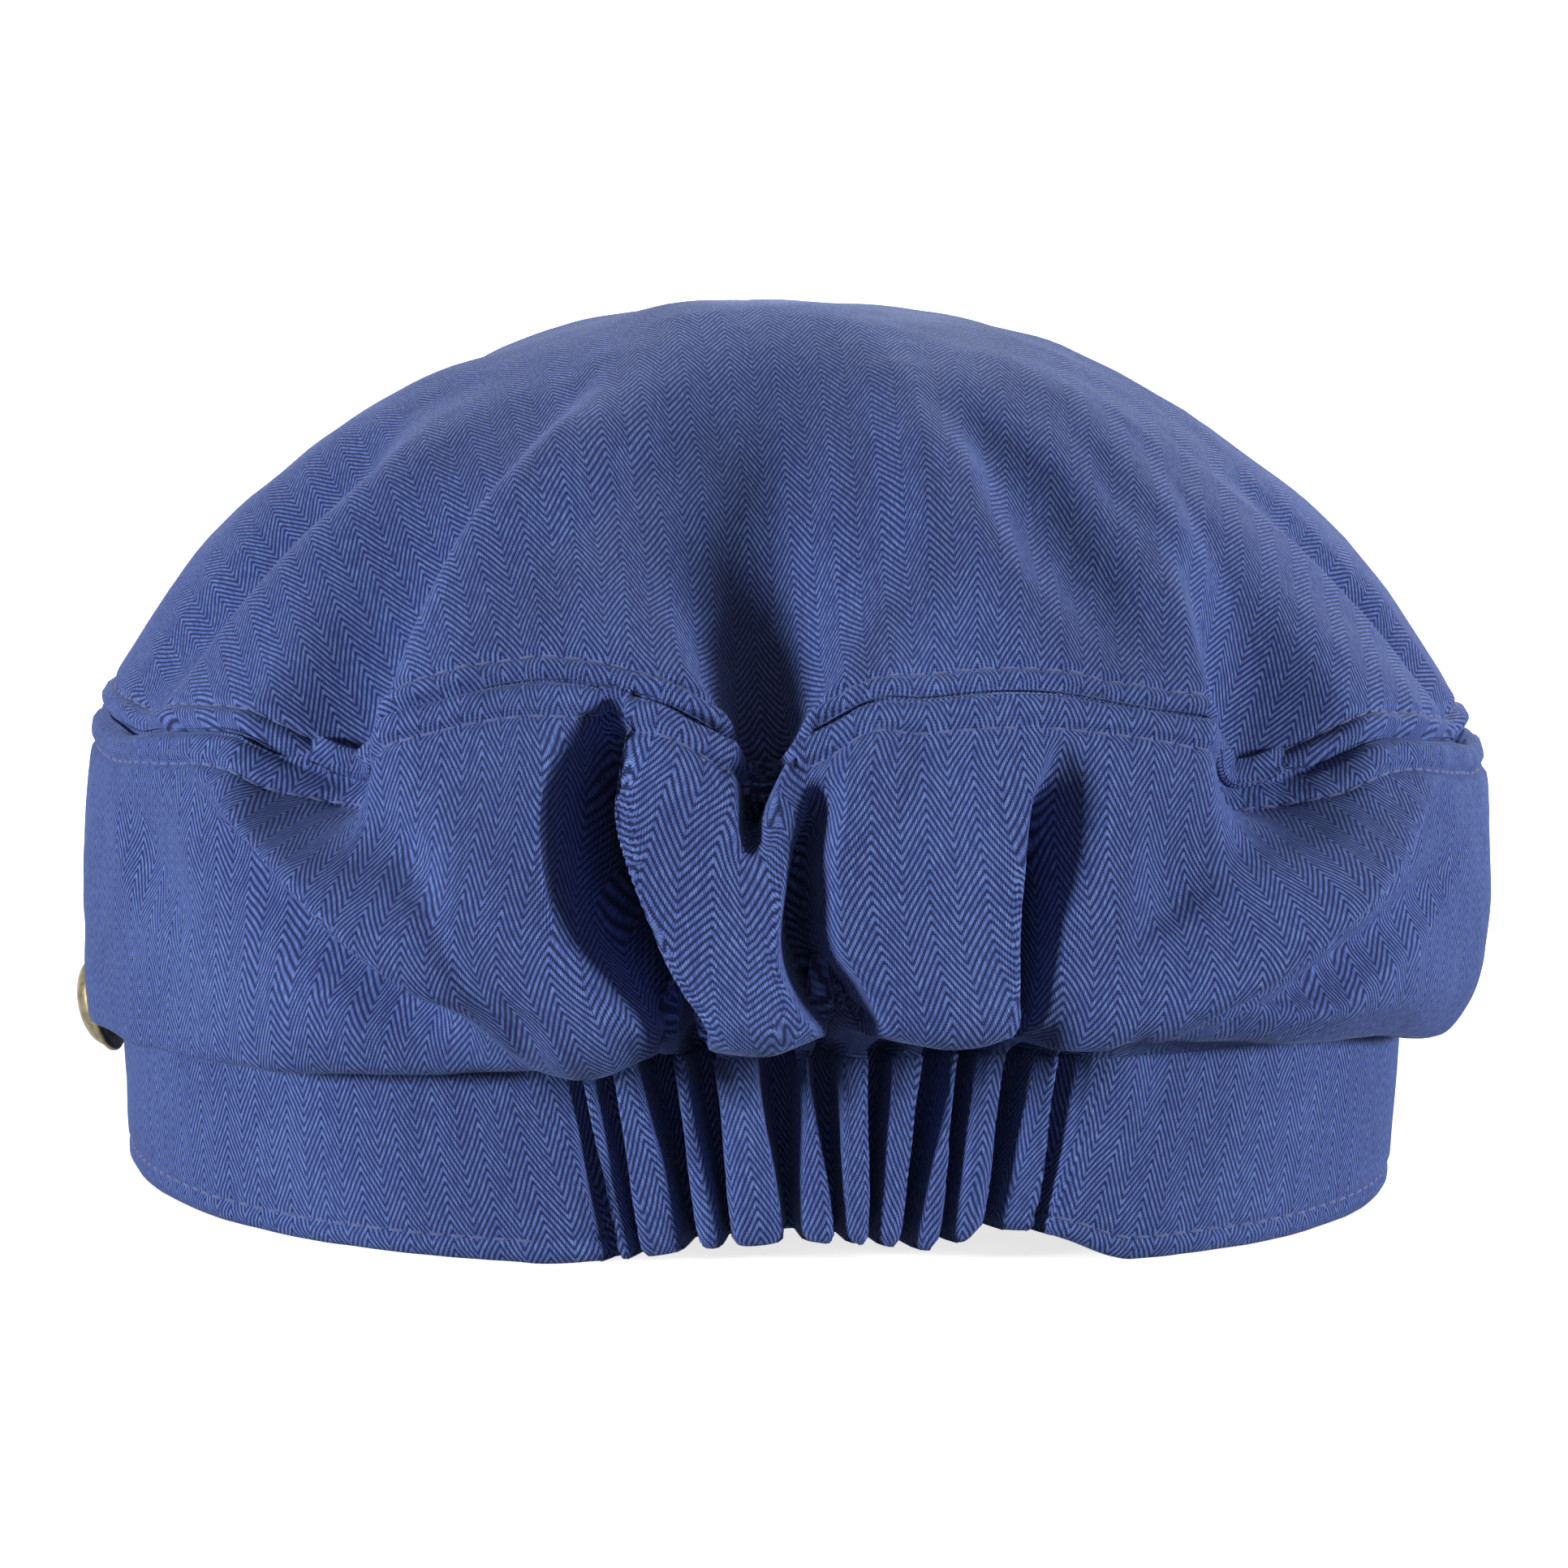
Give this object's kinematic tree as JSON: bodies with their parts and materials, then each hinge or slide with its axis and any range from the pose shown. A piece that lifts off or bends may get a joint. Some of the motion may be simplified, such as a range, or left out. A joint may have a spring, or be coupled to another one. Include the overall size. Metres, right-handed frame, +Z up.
{
  "type": "skipper cap",
  "caption": "Soft blue herringbone cotton cap with a full oval crown, a plain band gathered by elastic behind, a short stiff peak and a front strap between two brass side buttons.",
  "frame": {"origin": "middle of the cap's footprint, on the surface that it rests on", "axes": "+Z up through the crown, +Y towards the peak at the front, +X towards the wearer's right side"},
  "size_m": [0.1988, 0.2512, 0.1225],
  "materials": {
    "herringbone_cotton": "matte blue herringbone twill",
    "antique_brass": "dull antique brass",
    "stitch_thread": "matte sewing thread"
  },
  "bodies": {
    "root": {"headband": "herringbone_cotton", "crown_side": "herringbone_cotton", "crown_top": "herringbone_cotton", "peak": "herringbone_cotton", "strap": "herringbone_cotton", "side_button_left": "antique_brass", "side_button_right": "antique_brass"}
  },
  "joints": []
}
